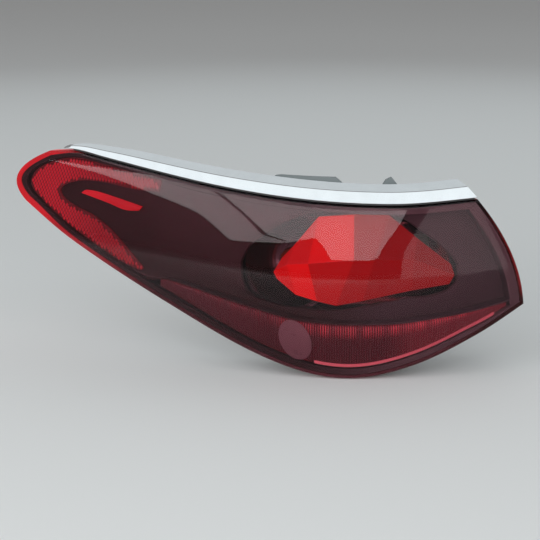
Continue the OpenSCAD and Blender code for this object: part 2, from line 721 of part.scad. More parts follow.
// Finned heat sink on the flat back, held by two screws
sink_at = [-34, 22];
sink = [40, 30, 3];
fins = 8;
module heat_sink() {
    color([0.75, 0.76, 0.78]) at_seat(sink_at) difference() {
        union() {
            translate([0, 0, sink.z / 2]) cube(sink, center = true);
            for (i = [0:fins - 1])
                translate([mix(-sink.x / 2 + 9, sink.x / 2 - 9, i / (fins - 1)), 0, sink.z + fin_h / 2])
                    cube([1.4, sink.y, fin_h], center = true);
        }
        for (x = sink_screws) translate([x, 0, -1]) cylinder(r = screw_r + slip, h = sink.z + 2);
    }
}

screw_r = 1.6;
sink_screws = [4 - sink.x / 2, sink.x / 2 - 4];
module heat_sink_screws() {
    color([0.6, 0.6, 0.62]) for (x = sink_screws) at_seat(sink_at) translate([x, 0, gap]) {
        cylinder(r = screw_r, h = sink.z);
        translate([0, 0, sink.z]) cylinder(r = 3, h = 2);
    }
}

// Trim strip: its height along the skin, and its section of depths and heights above the lens's edge
trim_from = 43;
trim_to = 452;
trim_points = [
    [40, 1], [150, 0.99], [230, 0.93], [320, 0.79], [378, 0.65], [421, 0.45], [445, 0.26], [460, 0.2]];
function trim_rise(s) = trim_h * along(trim_points, s);
function trim_section(s, lean) =
    let (h = trim_rise(s), w = min(trim_wall, h * 0.3), deep = 9 * min(1, h / 9))
    [for (q = [[-trim_proud, 0], [0.3 - trim_proud, 0.66 * h], [deep, h], [deep, h - w],
               [0.3 + w - trim_proud, 0.66 * h - w * 0.6], [w - trim_proud, 0]])
        skin([s + lean * q.y / h, top_edge(s) + seam + q.y], q.x)];
module chrome_trim() {
    n = 56;
    color([0.85, 0.9, 0.93]) bar([for (i = [0:n])
        let (t = i / n, s = mix(trim_from, trim_to, t))
        trim_section(s, 12 * max(0, 1 - t * 12) - 3 * max(0, t * 16 - 15))]);
}

// Black strip in the seam under the trim
module trim_seal() {
    n = 50;
    color([0.06, 0.06, 0.06]) bar([for (i = [0:n])
        let (s = mix(trim_from + 2, trim_to - 12, i / n), low = top_edge(s) + gap,
             high = top_edge(s) + seam - gap)
        [skin([s, low], -0.5), skin([s, high], -0.5), skin([s, high], 2.4), skin([s, low], 2.4)]]);
}

// Rail under the trim, on top of the housing, with an upright wall that rises into two tabs
carrier_from = 62;
carrier_to = 396;
tab_wide = [154, 240, 17.7];
tab_peak = [97, 114, 131, 21];
function tab(a, b, c, d, s) = min(ramp(a, b, s), 1 - ramp(c, d, s));
function carrier_back(s) =
    let (wide = tab(tab_wide[0] - 8, tab_wide[0] + 12, tab_wide[1] - 12, tab_wide[1] + 10, s),
         peak = tab(tab_peak[0] - 2, tab_peak[1], tab_peak[1], tab_peak[2] + 2, s))
    max(3.6, (tab_wide[2] + top_edge(tab_wide[0]) - top_edge(s)) * wide,
        (tab_peak[3] + top_edge(tab_peak[0]) - top_edge(s)) * peak);
module trim_carrier() {
    n = 60;
    color([0.35, 0.37, 0.38]) bar([for (i = [0:n])
        let (s = mix(carrier_from, carrier_to, i / n), z = top_edge(s), back = carrier_back(s),
             front = 0.66 * trim_rise(s) + seam - trim_wall - 0.8)
        [for (q = [[3, gap], [3, front], [6.5, front], [6.5, 3],
                   [19.5, 3], [19.5, back], [22, back], [22, gap]])
            skin([s, z + q.y], q.x)]]);
}

// Studs, each with a flange sunk in its boss
module mounting_studs() {
    color([0.8, 0.75, 0.5]) for (p = stud_places) at_seat(p) {
        translate([0, 0, 2 - boss_deep]) cylinder(r = stud_r, h = boss_deep - 2 + stud_len);
        translate([0, 0, -stud_flange[1]]) cylinder(r = stud_flange[0], h = stud_flange[1]);
    }
}

module locating_pin() {
    color([0.75, 0.76, 0.78]) translate(pin_base) rotate([-90, 0, 0]) {
        translate([0, 0, -lug.y - 3]) cylinder(r = pin_r, h = lug.y + 3 + pin_len);
        cylinder(r = pin_r + 3, h = 2);
        translate([0, 0, pin_len]) cylinder(r1 = pin_r, r2 = pin_r - 2, h = 4);
    }
}

// Foam ring on the flat back, round everything that passes through the car's body
gasket_outline = [
    [-63, -38], [-38, -28], [-20, -20], [-2, -11], [5, 0], [5, 14], [-12, 54], [-20, 62], [-60, 62],
    [-67, 55], [-67, -34]];
gasket_wide = 5;
module body_gasket() {
    color([0.12, 0.12, 0.13])
        translate([datum.x, gasket_thick, datum.z]) rotate([90, 0, 0]) linear_extrude(gasket_thick)
            difference() {
                polygon(gasket_outline);
                offset(delta = -gasket_wide) polygon(gasket_outline);
            }
}

// Plug on the flat back, with its pins
plug_at = [-45, -8];
plug_size = [28, 13];
plug_cavity = [24, 9];
pin_size = [0.8, 1.6, 15];
pin_pitch = 3.8;
module wiring_connector() {
    color([0.1, 0.1, 0.11]) at_seat(plug_at) difference() {
        union() {
            translate([0, 0, -3]) linear_extrude(plug_len + 3) square(plug_size, center = true);
            linear_extrude(2) square(plug_size + [4, 4], center = true);
        }
        translate([0, 0, 2]) linear_extrude(plug_len) square(plug_cavity, center = true);
        for (i = [0:5]) at_pin(i) cube([pin_size.x + 2 * slip, pin_size.y + 2 * slip, 20], center = true);
    }
}
module at_pin(i) {
    translate([(i - 2.5) * pin_pitch, 0, 0]) children();
}

module connector_pins() {
    color([0.8, 0.7, 0.4]) for (i = [0:5])
        at_seat(plug_at) at_pin(i) translate([0, 0, pin_size.z / 2 - 5]) cube(pin_size, center = true);
}

// Breather cap of the housing
vent_at = [-54, -22.5];
module vent_cap() {
    color([0.2, 0.2, 0.2]) at_seat(vent_at) {
        cylinder(r = 3.5, h = 5);
        cylinder(r = 4.5, h = 2);
    }
}

outer_lens();
lens_seal();
rear_housing();
lens_frame();
inner_bezel();
side_reflex();
marker_bar();
marker_led_board();
marker_leds();
tail_band();
guide_rod();
fog_lens();
tail_reflector();
tail_led_boards();
tail_leds();
turn_bowl();
turn_bulb();
turn_bulb_holder();
reverse_bulb();
reverse_bulb_holder();
holder_seals();
stop_jewel();
stop_reflector();
stop_led_board();
stop_leds();
heat_sink();
heat_sink_screws();
chrome_trim();
trim_seal();
trim_carrier();
mounting_studs();
locating_pin();
body_gasket();
wiring_connector();
connector_pins();
vent_cap();
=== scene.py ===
import math
import bmesh
import bpy
import numpy as np
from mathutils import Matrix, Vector


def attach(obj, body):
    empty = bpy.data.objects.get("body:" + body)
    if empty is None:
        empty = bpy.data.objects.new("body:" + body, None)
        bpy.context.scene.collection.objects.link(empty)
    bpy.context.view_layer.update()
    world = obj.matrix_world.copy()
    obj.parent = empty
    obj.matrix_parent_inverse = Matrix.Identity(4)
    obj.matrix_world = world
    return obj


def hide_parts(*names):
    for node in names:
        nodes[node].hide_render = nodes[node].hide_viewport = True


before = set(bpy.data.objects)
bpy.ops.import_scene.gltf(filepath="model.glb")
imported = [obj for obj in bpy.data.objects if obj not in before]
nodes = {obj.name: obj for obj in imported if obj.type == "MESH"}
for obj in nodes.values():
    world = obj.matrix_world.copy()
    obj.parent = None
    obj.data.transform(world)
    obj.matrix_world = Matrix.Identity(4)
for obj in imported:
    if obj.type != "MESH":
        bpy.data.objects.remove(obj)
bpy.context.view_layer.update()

print("packed model is in")

# camera
shot = {"eye": (-1.0488, -1.1148, 0.2828), "target": (-0.1455, 0.0414, -0.0291), "lens": 125.87}

def placeCamera():
    data = bpy.data.cameras.new("shotCamera")
    data.lens = shot["lens"]
    data.clip_end = 40
    camera = bpy.data.objects.new("shotCamera", data)
    camera.location = shot["eye"]
    look = Vector(shot["target"]) - Vector(shot["eye"])
    camera.rotation_euler = look.to_track_quat("-Z", "Y").to_euler()
    bpy.context.scene.collection.objects.link(camera)
    bpy.context.scene.camera = camera

placeCamera()
print("camera stands")

# the skin of the car, as in the part's source: s along it, z up, depth inwards, all in mm
skinShape = {"bootHeading": 13, "sideHeading": 79, "turnAt": 165, "turnSpread": 105, "length": 520,
             "bellyRadius": 330, "bellyHeight": -15, "datum": (28, -74.6, -48)}

def heading(s):
    def turned(v):
        return np.tanh((v - skinShape["turnAt"]) / skinShape["turnSpread"])
    share = (turned(s) - turned(0.0)) / (turned(skinShape["length"]) - turned(0.0))
    return np.radians(skinShape["bootHeading"] + (skinShape["sideHeading"] - skinShape["bootHeading"]) * share)

def walkPlan():
    s = np.arange(-60.0, 580.5, 0.5)
    mid = heading((s[1:] + s[:-1]) / 2)
    x = np.concatenate([[0], np.cumsum(-np.cos(mid) * 0.5)])
    y = np.concatenate([[0], np.cumsum(np.sin(mid) * 0.5)])
    return s, x - np.interp(0, s, x), y - np.interp(0, s, y)

planS, planX, planY = walkPlan()

def belly(z):
    return -(z - skinShape["bellyHeight"]) ** 2 / (2 * skinShape["bellyRadius"])

def onSkin(s, z, depth=0.0):     # metres in the part's frame
    s, z, depth = np.broadcast_arrays(np.asarray(s, float), np.asarray(z, float), np.asarray(depth, float))
    h = heading(s)
    out = belly(z) - depth
    x = np.interp(s, planS, planX) - out * np.sin(h)
    y = np.interp(s, planS, planY) - out * np.cos(h)
    return (np.stack([x, y, z], -1) + skinShape["datum"]) / 1000

def smoothLine(points, s):       # height of a smooth line through points
    p = np.array(points, float)
    s = np.asarray(s, float)
    i = np.clip(np.searchsorted(p[:, 0], s) - 1, 0, len(p) - 2)
    last = len(p) - 1
    def slope(k):
        a, b = p[np.maximum(k - 1, 0)], p[np.minimum(k + 1, last)]
        return (b[..., 1] - a[..., 1]) / (b[..., 0] - a[..., 0])
    w = p[i + 1, 0] - p[i, 0]
    t = (s - p[i, 0]) / w
    return (p[i, 1] * (2 * t ** 3 - 3 * t ** 2 + 1) + slope(i) * w * (t ** 3 - 2 * t ** 2 + t)
            + p[i + 1, 1] * (3 * t ** 2 - 2 * t ** 3) + slope(i + 1) * w * (t ** 3 - t ** 2))

def smoothPath(points, n):       # n points on a smooth path through points
    p = np.array(points, float)
    t = np.linspace(0, len(p) - 1, n)
    i = np.minimum(t.astype(int), len(p) - 2)
    f = (t - i)[:, None]
    a, b, c, d = p[np.maximum(i - 1, 0)], p[i], p[i + 1], p[np.minimum(i + 2, len(p) - 1)]
    return (2 * b + (c - a) * f + (2 * a - 5 * b + 4 * c - d) * f ** 2 + (3 * b - a - 3 * c + d) * f ** 3) / 2

def ease(a, b, s):
    t = np.clip((np.asarray(s, float) - a) / (b - a), 0, 1)
    return t * t * (3 - 2 * t)

def swell(v):
    return 4 * v * (1 - v)

edges = {"low": [(4, -12), (45, -33), (100, -55.3), (152, -65), (205, -57), (310, -20), (396, 9.4), (441, 25.8),
                 (489, 47)],
         "top": [(42, 74.2), (120, 72.4), (260, 79.9), (400, 91.6), (440, 94.8), (470, 92)],
         "shelf": [(15, -8), (30, -10.6), (50, -13.8), (80, -17), (120, -20), (190, -18.5), (240, -10), (318, 2),
                   (345, 0), (400, 17)],
         "border": [(0, 4.5), (30, 5.1), (60, 6.9), (100, 7.3), (200, 7.5), (320, 6.6), (372, 6.4), (415, 6.5),
                    (440, 7), (460, 7.8), (480, 8.3), (520, 8.3)],
         "borderTop": [(0, 8), (100, 7.6), (300, 7.6), (340, 6.2), (380, 5.8), (430, 5.8), (450, 6.6), (460, 7.5),
                       (472, 8.5), (520, 8.5)],
         "bootBulge": 8, "tipBulge": 25}

def lowEdge(s):
    return smoothLine(edges["low"], s)

def topEdge(s):
    return smoothLine(edges["top"], s)

def frameFoot(s):
    return lowEdge(s) + smoothLine(edges["border"], s)

def frameTop(s):
    return topEdge(s) - smoothLine(edges["borderTop"], s)

def shelf(s):
    return smoothLine(edges["shelf"], s)

def bezelFoot(s):
    k = ease(328, 372, s)
    return shelf(s) * (1 - k) + frameFoot(s) * k

def closedLoop(bottom, tip, top, boot):      # four sides, each from its own start
    return np.concatenate([bottom[:-1], tip[:-1], top[:-1], boot[:-1]])

def lensLoop(nu, nv):
    s = np.linspace(4, 489, nu + 1)
    u = np.linspace(42, 470, nu + 1)[::-1]
    v = np.linspace(0, 1, nv + 1)[:, None]
    footTip, topTip = np.array([489, 47.0]), np.array([470, 92.0])
    footBoot, topBoot = np.array([4, -12.0]), np.array([42, 74.2])
    one = np.array([[1.0, 0.0]])
    tip = footTip * (1 - v) + topTip * v + edges["tipBulge"] * swell(v) * one
    boot = topBoot * (1 - v) + footBoot * v - edges["bootBulge"] * swell(v) * one
    return closedLoop(np.stack([s, lowEdge(s)], 1), tip, np.stack([u, topEdge(u)], 1), boot)

def maskLoop(nu, nv, foot):                  # the area inside the dark frame
    s = np.linspace(15, 483, nu + 1)
    u = np.linspace(50, 466, nu + 1)[::-1]
    v = np.linspace(0, 1, nv + 1)[:, None]
    footTip, topTip = np.array([483, float(frameFoot(483))]), np.array([466, float(frameTop(466))])
    footBoot, topBoot = np.array([15, float(foot(15))]), np.array([50, float(frameTop(50))])
    one = np.array([[1.0, 0.0]])
    tip = footTip * (1 - v) + topTip * v + (edges["tipBulge"] - 7) * swell(v) * one
    boot = topBoot * (1 - v) + footBoot * v - (edges["bootBulge"] - 1) * swell(v) * one
    return closedLoop(np.stack([s, foot(s)], 1), tip, np.stack([u, frameTop(u)], 1), boot)

def insetLoop(loop, w):
    t = np.roll(loop, -1, 0) - np.roll(loop, 1, 0)
    t /= np.linalg.norm(t, axis=1)[:, None]
    return loop + np.broadcast_to(w, len(loop))[:, None] * np.stack([-t[:, 1], t[:, 0]], 1)

def rimAt(loop, more=0.0):                   # the lens's turned-in edge is thicker at the front tip
    return 2.4 + 2.0 * ease(430, 485, loop[:, 0]) + more

def netInside(loop, nu, nv):                 # grid of points inside a four-sided loop
    n = 2 * (nu + nv)
    u = np.linspace(0, 1, nu + 1)[:, None, None]
    v = np.linspace(0, 1, nv + 1)[None, :, None]
    bottom = loop[:nu + 1][:, None]
    top = loop[nu + nv + (nu - np.arange(nu + 1))][:, None]
    left = loop[(n - np.arange(nv + 1)) % n][None]
    right = loop[nu + np.arange(nv + 1)][None]
    a, b, c, d = loop[0], loop[nu], loop[nu + nv], loop[2 * nu + nv]
    corners = (a * (1 - u) + b * u) * (1 - v) + (d * (1 - u) + c * u) * v
    return bottom * (1 - v) + top * v + left * (1 - u) + right * u - corners

def rimOf(grid):                             # a net's outer points, in the loop's order
    return np.concatenate([grid[:-1, 0], grid[-1, :-1], grid[:0:-1, -1], grid[0, :0:-1]])

# meshes
def makePiece(name, verts, faces, node=None, sharp=35):
    mesh = bpy.data.meshes.new(name)
    mesh.from_pydata([tuple(v) for v in np.asarray(verts)], [], [tuple(int(k) for k in f) for f in faces])
    form = bmesh.new()
    form.from_mesh(mesh)
    bmesh.ops.recalc_face_normals(form, faces=form.faces)
    form.to_mesh(mesh)
    form.free()
    mesh.shade_smooth()
    if sharp is not None:
        mesh.set_sharp_from_angle(angle=math.radians(sharp))
    piece = bpy.data.objects.new(name, mesh)
    bpy.context.scene.collection.objects.link(piece)
    if node:
        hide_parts(node)
    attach(piece, "root")
    return piece

def gridFaces(rows, cols, start=0, flip=False):
    a = (np.arange(rows - 1)[:, None] * cols + np.arange(cols - 1)[None]).ravel() + start
    quads = np.stack([a, a + cols, a + cols + 1, a + 1], 1)
    return quads[:, ::-1] if flip else quads

def bandFaces(a, b):
    return np.stack([a, b, np.roll(b, -1), np.roll(a, -1)], 1)

def rimIndex(nu, nv, start=0):
    grid = np.arange((nu + 1) * (nv + 1)).reshape(nu + 1, nv + 1) + start
    return rimOf(grid[..., None])[:, 0]

def cupMesh(front, loops, back):             # a sheet with two sides and loops round its edge
    nu, nv = front.shape[0] - 1, front.shape[1] - 1
    count, n = (nu + 1) * (nv + 1), 2 * (nu + nv)
    verts = np.concatenate([front.reshape(-1, 3)] + list(loops) + [back.reshape(-1, 3)])
    last = count + len(loops) * n
    rims = [rimIndex(nu, nv)] + [np.arange(n) + count + m * n for m in range(len(loops))]
    rims.append(rimIndex(nu, nv, last))
    faces = [gridFaces(nu + 1, nv + 1), gridFaces(nu + 1, nv + 1, last, True)]
    edgeStart = sum(len(f) for f in faces)
    faces += [bandFaces(rims[m], rims[m + 1]) for m in range(len(rims) - 1)]
    return verts, np.concatenate(faces), edgeStart

def ringMesh(loops):                         # a ring with an opening, as loops all round its section
    n, m = len(loops[0]), len(loops)
    verts = np.concatenate(loops)
    ids = [np.arange(n) + k * n for k in range(m)]
    faces = np.concatenate([bandFaces(ids[k], ids[(k + 1) % m]) for k in range(m)])
    return verts, faces

def barMesh(sections):                       # a bar with closed ends
    sections = np.asarray(sections)
    m, n = sections.shape[:2]
    verts = sections.reshape(-1, 3)
    faces = []
    for i in range(m - 1):
        for k in range(n):
            a, b = i * n + k, i * n + (k + 1) % n
            faces.append((b, a, a + n, b + n))
    faces.append(tuple(range(n)))
    faces.append(tuple((m - 1) * n + k for k in range(n - 1, -1, -1)))
    return verts, faces

def giveValue(piece, name, values):          # one number per point, for a material to read
    layer = piece.data.attributes.new(name, "FLOAT", "POINT")
    layer.data.foreach_set("value", np.asarray(values, np.float32).ravel())

def useMaterials(piece, *materials):
    piece.data.materials.clear()
    for material in materials:
        piece.data.materials.append(material)

# materials
def newGroup(name, inputs, outputs):
    group = bpy.data.node_groups.new(name, "ShaderNodeTree")
    for label, value in inputs:
        kind = "NodeSocketColor" if isinstance(value, tuple) else "NodeSocketFloat"
        socket = group.interface.new_socket(name=label, in_out="INPUT", socket_type=kind)
        socket.default_value = value
    for label, kind in outputs:
        group.interface.new_socket(name=label, in_out="OUTPUT", socket_type=kind)
    return group, group.nodes.new("NodeGroupInput"), group.nodes.new("NodeGroupOutput")

def link(tree, a, b):
    tree.links.new(a, b)

def addMath(tree, kind, a, b=None, clamp=False):
    node = tree.nodes.new("ShaderNodeMath")
    node.operation = kind
    node.use_clamp = clamp
    for k, value in enumerate((a, b)):
        if value is None:
            continue
        if isinstance(value, (int, float)):
            node.inputs[k].default_value = value
        else:
            link(tree, value, node.inputs[k])
    return node.outputs[0]

def mixColour(tree, factor, a, b):
    node = tree.nodes.new("ShaderNodeMix")
    node.data_type = "RGBA"
    for socket, value in ((node.inputs[0], factor), (node.inputs[6], a), (node.inputs[7], b)):
        if isinstance(value, (int, float, tuple)):
            socket.default_value = value
        else:
            link(tree, value, socket)
    return node.outputs[2]

def buildGrain():        # fine moulded grain: a height and a slow mask
    group, inside, outside = newGroup("mouldGrain", [("Grain Size", 0.6), ("Patch Size", 20.0)],
                                      [("Height", "NodeSocketFloat"), ("Mask", "NodeSocketFloat")])
    where = group.nodes.new("ShaderNodeTexCoord")
    fine = group.nodes.new("ShaderNodeTexNoise")
    fine.inputs["Detail"].default_value = 3
    slow = group.nodes.new("ShaderNodeTexNoise")
    slow.inputs["Detail"].default_value = 4
    link(group, where.outputs["Object"], fine.inputs["Vector"])
    link(group, where.outputs["Object"], slow.inputs["Vector"])
    link(group, addMath(group, "DIVIDE", 1000.0, inside.outputs["Grain Size"]), fine.inputs["Scale"])
    link(group, addMath(group, "DIVIDE", 1000.0, inside.outputs["Patch Size"]), slow.inputs["Scale"])
    link(group, fine.outputs["Fac"], outside.inputs["Height"])
    link(group, slow.outputs["Fac"], outside.inputs["Mask"])
    return group

def buildDust():         # light dust on faces that look up, broken by noise
    group, inside, outside = newGroup("restingDust", [("Amount", 0.3), ("Patch Size", 8.0)],
                                      [("Mask", "NodeSocketFloat")])
    form = group.nodes.new("ShaderNodeNewGeometry")
    split = group.nodes.new("ShaderNodeSeparateXYZ")
    link(group, form.outputs["Normal"], split.inputs[0])
    where = group.nodes.new("ShaderNodeTexCoord")
    noise = group.nodes.new("ShaderNodeTexNoise")
    noise.inputs["Detail"].default_value = 5
    link(group, where.outputs["Object"], noise.inputs["Vector"])
    link(group, addMath(group, "DIVIDE", 1000.0, inside.outputs["Patch Size"]), noise.inputs["Scale"])
    up = addMath(group, "MULTIPLY", addMath(group, "ADD", split.outputs["Z"], 0.25, True), noise.outputs["Fac"])
    link(group, addMath(group, "MULTIPLY", up, inside.outputs["Amount"], True), outside.inputs["Mask"])
    return group

grainGroup = buildGrain()
dustGroup = buildDust()

def place(tree, group, **values):
    node = tree.nodes.new("ShaderNodeGroup")
    node.node_tree = group
    for label, value in values.items():
        node.inputs[label.replace("_", " ")].default_value = value
    return node

def newMaterial(name, colour, rough, **values):
    material = bpy.data.materials.new(name)
    material.use_nodes = True
    tree = material.node_tree
    shader = tree.nodes["Principled BSDF"]
    shader.inputs["Base Color"].default_value = (*colour, 1)
    shader.inputs["Roughness"].default_value = rough
    for label, value in values.items():
        shader.inputs[label.replace("_", " ")].default_value = value
    return material, tree, shader

def plasticFinish(name, colour, rough, grain=0.6, bump=0.15, dust=0.12, shade=0.25, other=None, **values):
    material, tree, shader = newMaterial(name, colour, rough, **values)
    surface = place(tree, grainGroup, Grain_Size=grain, Patch_Size=22.0)
    film = place(tree, dustGroup, Amount=dust, Patch_Size=9.0)
    dark = tuple(c * (1 - shade) for c in colour) + (1,)
    body = mixColour(tree, surface.outputs["Mask"], dark, (*colour, 1))
    if other:            # a second colour, where the mesh's own tone says so
        reader = tree.nodes.new("ShaderNodeAttribute")
        reader.attribute_name = "tone"
        body = mixColour(tree, reader.outputs["Fac"], body, (*other, 1))
    dusty = tuple(min(1, c * 0.6 + 0.22) for c in colour) + (1,)
    link(tree, mixColour(tree, film.outputs["Mask"], body, dusty), shader.inputs["Base Color"])
    spread = addMath(tree, "MULTIPLY", addMath(tree, "SUBTRACT", surface.outputs["Mask"], 0.5), 0.25)
    link(tree, addMath(tree, "ADD", addMath(tree, "ADD", spread, rough), film.outputs["Mask"], True),
         shader.inputs["Roughness"])
    relief = tree.nodes.new("ShaderNodeBump")
    relief.inputs["Strength"].default_value = bump
    relief.inputs["Distance"].default_value = 0.0002
    link(tree, surface.outputs["Height"], relief.inputs["Height"])
    link(tree, relief.outputs["Normal"], shader.inputs["Normal"])
    return material

def metalFinish(name, colour, rough, grain=0.25, bump=0.05, shade=0.12, **values):
    material, tree, shader = newMaterial(name, colour, rough, Metallic=1.0, **values)
    surface = place(tree, grainGroup, Grain_Size=grain, Patch_Size=14.0)
    dark = tuple(c * (1 - shade) for c in colour) + (1,)
    link(tree, mixColour(tree, surface.outputs["Mask"], dark, (*colour, 1)), shader.inputs["Base Color"])
    spread = addMath(tree, "MULTIPLY", addMath(tree, "SUBTRACT", surface.outputs["Mask"], 0.5), rough * 0.8)
    link(tree, addMath(tree, "ADD", spread, rough, True), shader.inputs["Roughness"])
    relief = tree.nodes.new("ShaderNodeBump")
    relief.inputs["Strength"].default_value = bump
    relief.inputs["Distance"].default_value = 0.0001
    link(tree, surface.outputs["Height"], relief.inputs["Height"])
    link(tree, relief.outputs["Normal"], shader.inputs["Normal"])
    return material

def clearFinish(name, tint, rough=0.02, ior=1.49, shadowTint=None):    # see-through plastic that lets light in
    material, tree, shader = newMaterial(name, tint, rough, Transmission_Weight=1.0, IOR=ior)
    out = tree.nodes["Material Output"]
    path = tree.nodes.new("ShaderNodeLightPath")
    through = tree.nodes.new("ShaderNodeBsdfTransparent")
    through.inputs["Color"].default_value = (*(shadowTint or tint), 1)
    both = tree.nodes.new("ShaderNodeMixShader")
    link(tree, path.outputs["Is Shadow Ray"], both.inputs[0])
    link(tree, shader.outputs[0], both.inputs[1])
    link(tree, through.outputs[0], both.inputs[2])
    link(tree, both.outputs[0], out.inputs["Surface"])
    return material, tree, shader

def paintGlowFrom(tree, shader, attribute, dark, bright):     # painted glow: a value on the mesh turns up an emission that stands in for light inside the red parts, though no lamp is lit
    reader = tree.nodes.new("ShaderNodeAttribute")
    reader.attribute_name = attribute
    colour = mixColour(tree, reader.outputs["Fac"], (*dark, 1), (*bright, 1))
    link(tree, colour, shader.inputs["Emission Color"])
    shader.inputs["Emission Strength"].default_value = 1.0
    return reader

print("material tools are ready")

# sheets and rings that lie on the skin
def skinCup(name, front, frontDepth, loops, back, backDepth, node, sharp=35):
    nu, nv = front.shape[0] - 1, front.shape[1] - 1
    flat = [front.reshape(-1, 2)] + [loop for loop, depth in loops] + [back.reshape(-1, 2)]
    deep = [np.broadcast_to(frontDepth, front.shape[:2]).ravel()]
    deep += [np.broadcast_to(depth, len(loop)) for loop, depth in loops]
    deep += [np.broadcast_to(backDepth, back.shape[:2]).ravel()]
    flat, deep = np.concatenate(flat), np.concatenate(deep)
    verts = onSkin(flat[:, 0], flat[:, 1], deep)
    count = (nu + 1) * (nv + 1)
    starts = [verts[:count].reshape(nu + 1, nv + 1, 3)]
    n = 2 * (nu + nv)
    mids = [verts[count + m * n:count + (m + 1) * n] for m in range(len(loops))]
    last = verts[count + len(loops) * n:].reshape(nu + 1, nv + 1, 3)
    verts, faces, edgeStart = cupMesh(starts[0], mids, last)
    return makePiece(name, verts, faces, node, sharp), flat, deep, edgeStart

def skinRing(name, loops, node, sharp=35):
    flat = np.concatenate([loop for loop, depth in loops])
    deep = np.concatenate([np.broadcast_to(depth, len(loop)) for loop, depth in loops])
    verts, faces = ringMesh([onSkin(loop[:, 0], loop[:, 1], depth) for loop, depth in loops])
    return makePiece(name, verts, faces, node, sharp), flat, deep

# outer lens
lensLook = {"wall": 3.0, "turnIn": 9.0, "round": 1.3, "across": 180, "up": 44,
            "tint": (0.55, 0.34, 0.38), "shadowTint": (0.74, 0.58, 0.62),
            "rimBlack": (0.012, 0.006, 0.007), "rimPaintedHighlight": (0.16, 0.07, 0.09), "rimPaintedGlow": (0.66, 0.018, 0.028)}

def makeLens():
    nu, nv, r = lensLook["across"], lensLook["up"], lensLook["round"]
    edge = lensLoop(nu, nv)
    inner = insetLoop(edge, rimAt(edge))
    front = netInside(insetLoop(edge, r), nu, nv)
    loops = [(insetLoop(edge, r * 0.5), r * 0.13), (insetLoop(edge, r * 0.13), r * 0.5), (edge, r),
             (edge, lensLook["turnIn"]), (inner, lensLook["turnIn"])]
    piece, flat, deep, edgeStart = skinCup("outerLens", front, 0.0, loops, netInside(inner, nu, nv),
                                           lensLook["wall"], "outer_lens", 50)
    clear, tree, shader = clearFinish("smokedLens", lensLook["tint"], 0.0, 1.28, lensLook["shadowTint"])
    # painted light on the turned-in rim: an emission glow stands in for light carried through the thick red edge,
    # and a mauve tone, patchy by the grain mask, stands in for the highlight along the lower edge
    rim, tree, shader = newMaterial("rimRed", lensLook["rimBlack"], 0.25)
    paintGlowFrom(tree, shader, "paintedGlow", (0.0, 0.0, 0.0), lensLook["rimPaintedGlow"])
    reader = tree.nodes.new("ShaderNodeAttribute")
    reader.attribute_name = "tone"
    grain = place(tree, grainGroup, Grain_Size=1.5, Patch_Size=30.0)
    patches = addMath(tree, "ADD", grain.outputs["Mask"], 0.4)
    amount = addMath(tree, "MULTIPLY", reader.outputs["Fac"], patches, True)
    link(tree, mixColour(tree, amount, (*lensLook["rimBlack"], 1), (*lensLook["rimPaintedHighlight"], 1)),
         shader.inputs["Base Color"])
    useMaterials(piece, clear, rim)
    n = 2 * (nu + nv)
    index = np.zeros(len(piece.data.polygons), np.int32)
    index[edgeStart + 3 * n:] = 1
    piece.data.polygons.foreach_set("material_index", index)
    # painted glow on the rim: strongest at the front tip, rising along the foot towards the tip, and a little at
    # the boot end
    low = 1 - ease(-30, -8, flat[:, 1] - topEdge(flat[:, 0]))
    tip = ease(425, 475, flat[:, 0])
    boot = 0.5 * (1 - ease(30, 62, flat[:, 0])) * (1 - ease(1.4, 2.0, deep)) * ease(-10, 5, flat[:, 1])
    along = low * (0.03 + 0.55 * ease(330, 470, flat[:, 0]))
    giveValue(piece, "paintedGlow", np.maximum(np.maximum(tip, along), boot))
    # tone: where the painted mauve highlight lies along the lower rim
    giveValue(piece, "tone", low * ease(30, 70, flat[:, 0]) * (1 - tip))
    return piece

lens = makeLens()
print("outer lens is made")

# dark frame inside the lens's edge
frameLook = {"wall": 1.4, "top": 3.5, "foot": 10.3, "dark": (0.020, 0.010, 0.010), "light": (0.13, 0.12, 0.125)}

def makeFrame():
    nu, nv = 160, 30
    edge = lensLoop(nu, nv)
    outer = insetLoop(edge, rimAt(edge, 0.3))
    skirt = insetLoop(edge, rimAt(edge, 0.3 + frameLook["wall"]))
    inner = maskLoop(nu, nv, frameFoot)
    top, wall = frameLook["top"], frameLook["wall"]
    mid = inner * 0.5 + outer * 0.5
    loops = [(inner, top + 0.4), (insetLoop(inner, -0.5), top), (mid, top), (outer, top),
             (outer, frameLook["foot"]), (skirt, frameLook["foot"]), (skirt, top + wall), (inner, top + wall)]
    piece, flat, _ = skinRing("lensFrame", loops, "lens_frame")
    useMaterials(piece, plasticFinish("framePlastic", frameLook["dark"], 0.5, dust=0.0,
                                      other=frameLook["light"]))
    giveValue(piece, "tone", 1 - ease(90, 200, flat[:, 0]))
    return piece

makeFrame()
print("lens frame is made")

# inner bezel with the oval opening
bezelLook = {"deep": 15.0, "shallow": 8.0, "wall": 1.4, "lip": 4.0, "openAt": (150, 24),
             "open": [(252, 22), (251, 8), (246, -2), (236, -6.5), (218, -9.5), (196, -11.2), (180, -12),
                      (166, -12), (152, -10.8), (140, -8.5), (122, -5.3), (103, -2), (66, 1.5), (58, 8), (57, 22),
                      (70, 35.5), (89, 49), (101, 57.5), (118, 64.2), (134, 64.6), (150, 64.8), (164, 65),
                      (178, 65), (205, 58), (230, 45), (246, 34)],
             "dark": (0.024, 0.002, 0.004), "light": (0.055, 0.048, 0.055)}

def floorDepth(s):
    k = ease(240, 335, s)
    return bezelLook["deep"] * (1 - k) + bezelLook["shallow"] * k

